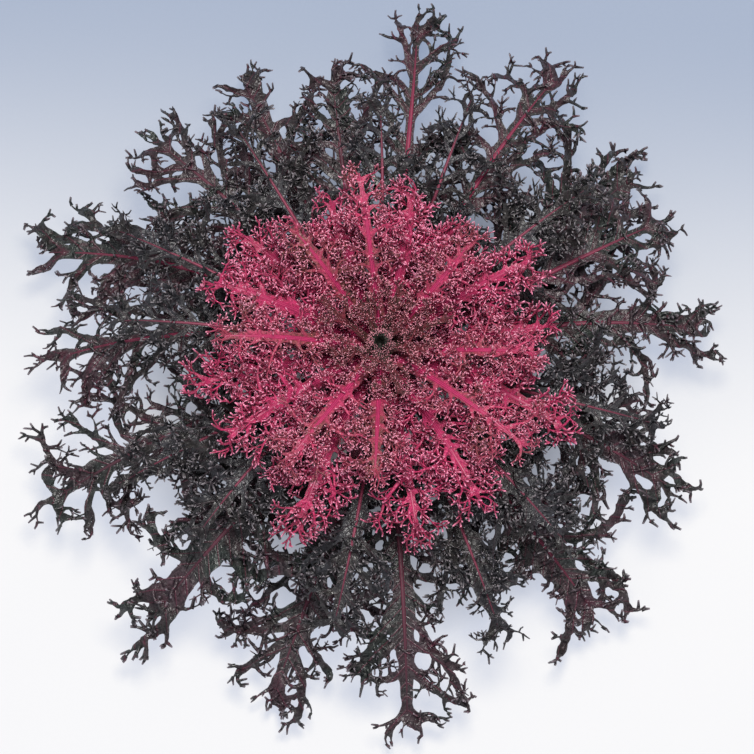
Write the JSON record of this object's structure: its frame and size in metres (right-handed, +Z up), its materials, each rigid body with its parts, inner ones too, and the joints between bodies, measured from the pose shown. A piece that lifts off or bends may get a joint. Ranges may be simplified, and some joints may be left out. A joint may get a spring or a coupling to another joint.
{
  "type": "ornamental kale head",
  "caption": "Cut head of ornamental kale: dark, finely cut outer leaves around a frilled magenta rosette, standing on the cut face of its stalk.",
  "frame": {"origin": "centre of the stalk's cut face, which rests on the surface", "axes": "+Z up along the stalk, out of the cut face towards the heart; +Y and +X lie in the surface"},
  "size_m": [0.3409, 0.3706, 0.1107],
  "materials": {
    "stalk": "pale green stalk skin with a bloom, and a cream cut face",
    "dark_leaf": "purple-black to dark green leaf with a crimson midrib, slightly waxy",
    "dusky_leaf": "dark green and purple leaf, slightly waxy",
    "magenta_leaf": "magenta leaf with brighter ribs and pink fringe tips",
    "heart_leaf": "dark wine-red young leaf with pink tips"
  },
  "bodies": {
    "root": {"stalk": "stalk", "outer_leaf_01": "dark_leaf", "outer_leaf_02": "dark_leaf", "outer_leaf_03": "dark_leaf", "outer_leaf_04": "dark_leaf", "outer_leaf_05": "dark_leaf", "outer_leaf_06": "dark_leaf", "outer_leaf_07": "dark_leaf", "outer_leaf_08": "dark_leaf", "outer_leaf_09": "dark_leaf", "outer_leaf_10": "dark_leaf", "outer_leaf_11": "dark_leaf", "outer_leaf_12": "dark_leaf", "outer_leaf_13": "dark_leaf", "outer_leaf_14": "dark_leaf", "outer_leaf_15": "dark_leaf", "outer_leaf_16": "dark_leaf", "middle_leaf_01": "dusky_leaf", "middle_leaf_02": "dusky_leaf", "middle_leaf_03": "dusky_leaf", "middle_leaf_04": "dusky_leaf", "middle_leaf_05": "dusky_leaf", "middle_leaf_06": "dusky_leaf", "middle_leaf_07": "dusky_leaf", "middle_leaf_08": "dusky_leaf", "middle_leaf_09": "dusky_leaf", "middle_leaf_10": "dusky_leaf", "middle_leaf_11": "dusky_leaf", "middle_leaf_12": "dusky_leaf", "crown_leaf_01": "magenta_leaf", "crown_leaf_02": "magenta_leaf", "crown_leaf_03": "magenta_leaf", "crown_leaf_04": "magenta_leaf", "crown_leaf_05": "magenta_leaf", "crown_leaf_06": "magenta_leaf", "crown_leaf_07": "magenta_leaf", "crown_leaf_08": "magenta_leaf", "crown_leaf_09": "magenta_leaf", "crown_leaf_10": "magenta_leaf", "crown_leaf_11": "magenta_leaf", "crown_leaf_12": "magenta_leaf", "crown_leaf_13": "magenta_leaf", "inner_leaf_01": "magenta_leaf", "inner_leaf_02": "magenta_leaf", "inner_leaf_03": "magenta_leaf", "inner_leaf_04": "magenta_leaf", "inner_leaf_05": "magenta_leaf", "inner_leaf_06": "magenta_leaf", "inner_leaf_07": "magenta_leaf", "inner_leaf_08": "magenta_leaf", "heart": "heart_leaf"}
  },
  "joints": []
}
